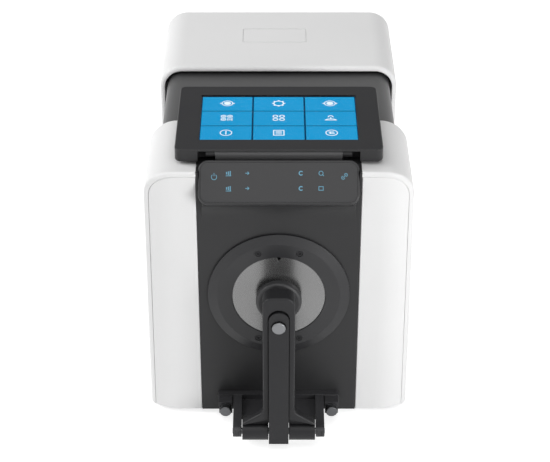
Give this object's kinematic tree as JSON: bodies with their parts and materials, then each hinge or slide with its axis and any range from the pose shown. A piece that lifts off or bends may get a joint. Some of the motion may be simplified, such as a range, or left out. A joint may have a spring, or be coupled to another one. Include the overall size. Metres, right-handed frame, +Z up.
{
  "type": "benchtop spectrophotometer",
  "caption": "Arch-shaped colour-measuring instrument with a port and sprung sample arm at its front, a touch display, and a sliding cover over its sample compartment.",
  "frame": {"origin": "centre of the box's footprint, at the level of the feet's underside", "axes": "+Z up, +X to the user's right, +Y away from the user towards the back panel"},
  "size_m": [0.245, 0.3972, 0.281],
  "materials": {
    "white_shell": "smooth satin white",
    "charcoal": "fine satin charcoal",
    "charcoal_metal": "satin dark grey coat",
    "dark_plastic": "fine texture",
    "key_sheet": "smooth touch surface",
    "glass": "clear",
    "lamp_glass": "clear",
    "panel_black": "black",
    "target_light": "light grey",
    "soft_pad": "soft black",
    "steel": "bright",
    "screw_steel": "plated",
    "cast_metal": "cast, machined faces",
    "sheet_metal": "bent sheet",
    "holder_black": "black anodised look",
    "sphere_white": "matt white",
    "back_sheet": "grey powder coat",
    "foot_rubber": "black",
    "board_green": "solder mask",
    "grating_mirror": "ruled mirror",
    "detector_black": "black chip on a board"
  },
  "bodies": {
    "instrument": {"front_shell": "white_shell", "front_panel_left": "white_shell", "front_panel_right": "white_shell", "rear_cover": "white_shell", "front_strip": "charcoal", "key_housing": "charcoal", "skirt_left": "charcoal", "skirt_right": "charcoal", "bulkhead": "charcoal", "port_ring": "charcoal_metal", "arm_bracket": "charcoal_metal", "hinge_bar": "dark_plastic", "switch_frame": "dark_plastic", "key_overlay": "key_sheet", "lens": "glass", "flash_lamp": "lamp_glass", "power_jack": "panel_black", "locating_camera": "panel_black", "hinge_pin": "steel", "ring_screws": "steel", "cover_screws": "screw_steel", "usb_port": "screw_steel", "serial_port": "screw_steel", "front_plate": "cast_metal", "base_plate": "cast_metal", "spectrometer_body": "cast_metal", "rear_frame": "sheet_metal", "compartment_tray": "sheet_metal", "cover_rails": "sheet_metal", "sphere_bracket": "sheet_metal", "spectrometer_lid": "sheet_metal", "cuvette_holder": "holder_black", "lens_tube": "holder_black", "lamp_housing": "holder_black", "sphere_front": "sphere_white", "sphere_rear": "sphere_white", "back_panel": "back_sheet", "rubber_feet": "foot_rubber", "key_board": "board_green", "main_board": "board_green", "power_board": "board_green", "grating": "grating_mirror", "detector_array": "detector_black"},
    "sliding_cover": {"sliding_cover": "charcoal"},
    "display": {"display_back": "dark_plastic", "display_glass": "glass", "display_panel": "panel_black", "display_board": "board_green", "display_pin": "steel"},
    "clamp": {"cuvette_clamp": "dark_plastic"},
    "arm": {"sample_arm": "charcoal_metal", "arm_centre_bar": "charcoal_metal", "arm_springs": "screw_steel", "plunger_spring": "screw_steel"},
    "plunger": {"plunger": "steel"},
    "pad": {"sample_pad": "soft_pad"},
    "target": {"target_plate": "target_light"},
    "screw_left": {"thumbscrew_left": "steel"},
    "screw_right": {"thumbscrew_right": "steel"},
    "rocker": {"switch_rocker": "panel_black"}
  },
  "joints": [
    {"name": "cover_slide", "type": "slide", "parent": "instrument", "child": "sliding_cover", "axis": [0, 1, 0], "range_m": [0, 0.1]},
    {"name": "display_tilt", "type": "hinge", "parent": "instrument", "child": "display", "pos_m": [0, -0.12345, 0.276], "axis": [1, 0, 0], "range_deg": [0, 65]},
    {"name": "clamp_slide", "type": "slide", "parent": "instrument", "child": "clamp", "axis": [0, 1, 0], "range_m": [0, 0.03]},
    {"name": "arm_swing", "type": "hinge", "parent": "instrument", "child": "arm", "pos_m": [0, -0.18945, 0.017], "axis": [1, 0, 0], "range_deg": [0, 80], "stiffness_Nm_per_rad": 0.5, "springref_deg": -34.38},
    {"name": "plunger_slide", "type": "slide", "parent": "arm", "child": "plunger", "axis": [0, -1, 0], "range_m": [0, 0.006], "stiffness_N_per_m": 800, "springref_m": -0.005, "deforming": ["plunger_spring"]},
    {"name": "pad_tilt", "type": "hinge", "parent": "plunger", "child": "pad", "pos_m": [0, -0.15895, 0.1385], "axis": [1, 0, 0], "range_deg": [-4, 4]},
    {"name": "target_twist", "type": "hinge", "parent": "instrument", "child": "target", "pos_m": [0, -0.14365, 0.1385], "axis": [0, 1, 0], "range_deg": [0, 25]},
    {"name": "left_screw_turn", "type": "hinge", "parent": "instrument", "child": "screw_left", "pos_m": [-0.05, -0.16045, 0.019], "axis": [0, 1, 0], "continuous": true},
    {"name": "right_screw_turn", "type": "hinge", "parent": "instrument", "child": "screw_right", "pos_m": [0.05, -0.16045, 0.019], "axis": [0, 1, 0], "continuous": true},
    {"name": "rocker_tilt", "type": "hinge", "parent": "instrument", "child": "rocker", "pos_m": [-0.038, 0.18955, 0.05], "axis": [1, 0, 0], "range_deg": [0, 14]}
  ]
}
